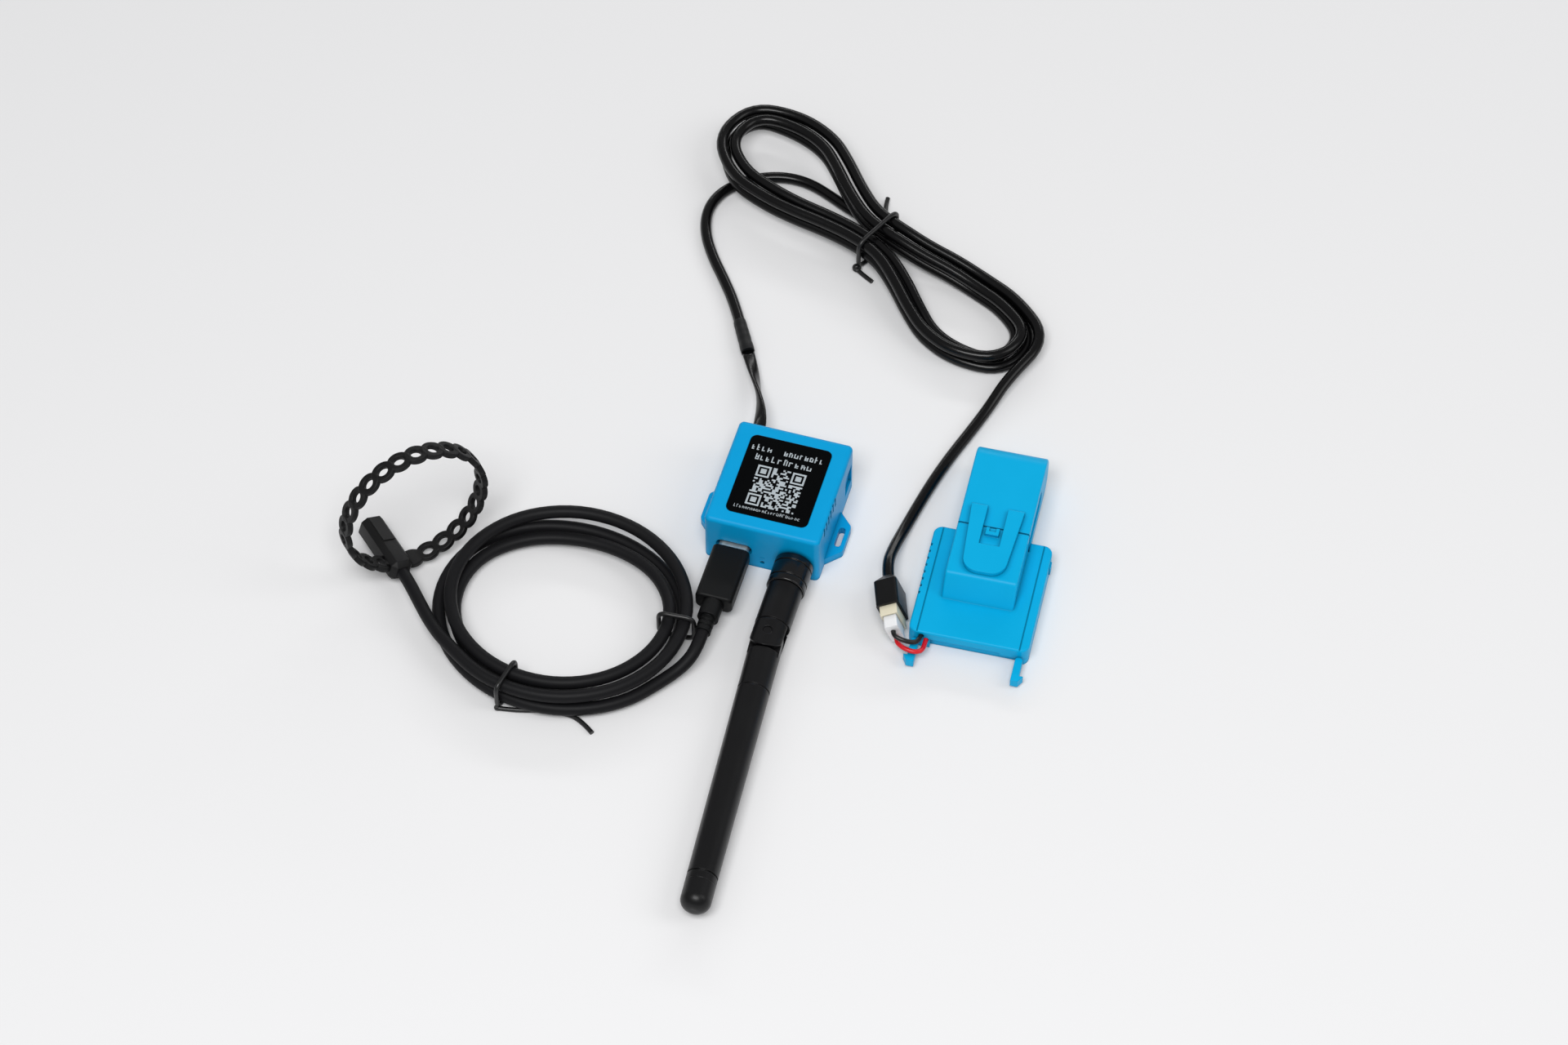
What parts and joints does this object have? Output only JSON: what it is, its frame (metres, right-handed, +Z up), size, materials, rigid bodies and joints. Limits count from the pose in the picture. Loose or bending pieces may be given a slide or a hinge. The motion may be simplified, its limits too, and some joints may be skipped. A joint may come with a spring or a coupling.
{
  "type": "smart energy monitor",
  "caption": "Small square sensor hub with a folding antenna, a split-core current clamp on a long hanked cable, and a strap probe on a coiled lead.",
  "frame": {"origin": "centre of the hub housing's underside, on the surface that everything lies on", "axes": "+Z up; +X to the right seen from the side with the antenna and the lead's plug; -Y out of that side"},
  "size_m": [0.1844, 0.2635, 0.0445],
  "materials": {
    "blue_plastic": "satin moulded",
    "grey_base_plastic": "satin moulded",
    "label_film": "satin film",
    "screw_steel": "plated",
    "board_laminate": "solder mask",
    "shield_metal": "plated",
    "capacitor_sleeve": "shrink sleeve",
    "connector_nylon": "moulded",
    "jack_brass": "plated",
    "button_plastic": "moulded",
    "grommet_rubber": "matte",
    "cable_black": "smooth jacket",
    "sleeve_black": "shrink sleeve",
    "tie_black": "soft wire tie",
    "socket_black": "moulded",
    "header_cream": "moulded",
    "plug_white": "moulded",
    "wire_black": "insulation",
    "wire_red": "insulation",
    "nut_black": "fine knurl",
    "antenna_black": "satin moulded",
    "pin_steel": "plain",
    "plug_steel": "bright",
    "overmould_black": "soft moulded",
    "lead_black": "matte jacket",
    "probe_black": "moulded",
    "sensor_steel": "plain",
    "strap_black": "soft moulded",
    "clamp_blue": "satin moulded",
    "clamp_back_blue": "satin moulded",
    "core_ferrite": "ground",
    "bobbin_nylon": "moulded",
    "winding_copper": "enamelled",
    "pad_foam": "foam"
  },
  "bodies": {
    "hub": {"housing_cover": "blue_plastic", "housing_base_plate": "grey_base_plastic", "housing_label": "label_film", "base_screw_1": "screw_steel", "base_screw_2": "screw_steel", "base_screw_3": "screw_steel", "base_screw_4": "screw_steel", "main_board": "board_laminate", "radio_module": "shield_metal", "storage_capacitor": "capacitor_sleeve", "usb_receptacle": "shield_metal", "cable_connector": "connector_nylon", "antenna_jack": "jack_brass", "reset_switch": "connector_nylon", "cable_grommet": "grommet_rubber", "cable_pair": "cable_black", "heat_shrink_sleeve": "sleeve_black", "ct_cable_near": "cable_black", "ct_cable_hank": "cable_black", "hank_tie": "tie_black", "ct_cable_far": "cable_black", "socket_housing": "socket_black", "socket_header": "header_cream"},
    "antenna_nut": {"coupling_nut": "nut_black"},
    "antenna_base": {"antenna_barrel": "antenna_black", "antenna_hinge_pin": "pin_steel"},
    "antenna_rod": {"antenna_whip": "antenna_black", "antenna_end_cap": "antenna_black"},
    "reset_button": {"reset_plunger": "button_plastic"},
    "probe_lead": {"usb_plug_shell": "plug_steel", "usb_plug_overmould": "overmould_black", "usb_strain_relief": "overmould_black", "lead_at_plug": "lead_black", "lead_coil": "lead_black", "coil_tie_1": "tie_black", "coil_tie_2": "tie_black", "lead_at_probe": "lead_black", "probe_block": "probe_black", "probe_sensor": "sensor_steel", "probe_strap": "strap_black"},
    "clamp": {"clamp_front_cover": "clamp_blue", "clamp_back_cover": "clamp_back_blue", "clamp_screw_1": "screw_steel", "clamp_screw_2": "screw_steel", "lower_core": "core_ferrite", "bobbin": "bobbin_nylon", "winding": "winding_copper", "wire_board": "board_laminate", "jaw_hinge_pin": "pin_steel", "jst_plug": "plug_white", "black_wire": "wire_black", "red_wire": "wire_red"},
    "jaw": {"upper_jaw": "clamp_blue", "upper_core": "core_ferrite", "core_spring_pad": "pad_foam"},
    "latch": {"jaw_latch": "clamp_blue"},
    "snap_left": {"snap_arm_left": "clamp_blue"},
    "snap_right": {"snap_arm_right": "clamp_blue"}
  },
  "joints": [
    {"name": "nut_spin", "type": "hinge", "parent": "hub", "child": "antenna_nut", "pos_m": [0.0094, -0.022, 0.0059], "axis": [0, 1, 0], "continuous": true},
    {"name": "antenna_swivel", "type": "hinge", "parent": "hub", "child": "antenna_base", "pos_m": [0.0094, -0.03, 0.0059], "axis": [0, 1, 0], "range_deg": [-140, 140]},
    {"name": "antenna_fold", "type": "hinge", "parent": "antenna_base", "child": "antenna_rod", "pos_m": [0.0094, -0.04305, 0.0059], "axis": [0, 0, 1], "range_deg": [-3.6, 86.4]},
    {"name": "reset_press", "type": "slide", "parent": "hub", "child": "reset_button", "axis": [0, 1, 0], "range_m": [0, 0.00025], "stiffness_N_per_m": 400},
    {"name": "lead_plug_slide", "type": "slide", "parent": "hub", "child": "probe_lead", "axis": [0, -1, 0], "range_m": [0, 0.008]},
    {"name": "clamp_plug_slide", "type": "slide", "parent": "hub", "child": "clamp", "axis": [0.3486, -0.9373, 0], "range_m": [0, 0.005]},
    {"name": "jaw_open", "type": "hinge", "parent": "clamp", "child": "jaw", "pos_m": [0.05857, 0.00488, 0.0016], "axis": [-0.9987, -0.0506, 0], "range_deg": [0, 90]},
    {"name": "latch_lift", "type": "hinge", "parent": "jaw", "child": "latch", "pos_m": [0.05835, 0.00907, 0.01425], "axis": [-0.9987, -0.0506, 0], "range_deg": [0, 12], "stiffness_Nm_per_rad": 0.05},
    {"name": "snap_left_flex", "type": "hinge", "parent": "clamp", "child": "snap_left", "pos_m": [0.04636, -0.03083, 0.0023], "axis": [0, 0, 1], "range_deg": [0, 6], "stiffness_Nm_per_rad": 0.05},
    {"name": "snap_right_flex", "type": "hinge", "parent": "clamp", "child": "snap_right", "pos_m": [0.07432, -0.02942, 0.0023], "axis": [0, 0, -1], "range_deg": [0, 6], "stiffness_Nm_per_rad": 0.05}
  ]
}
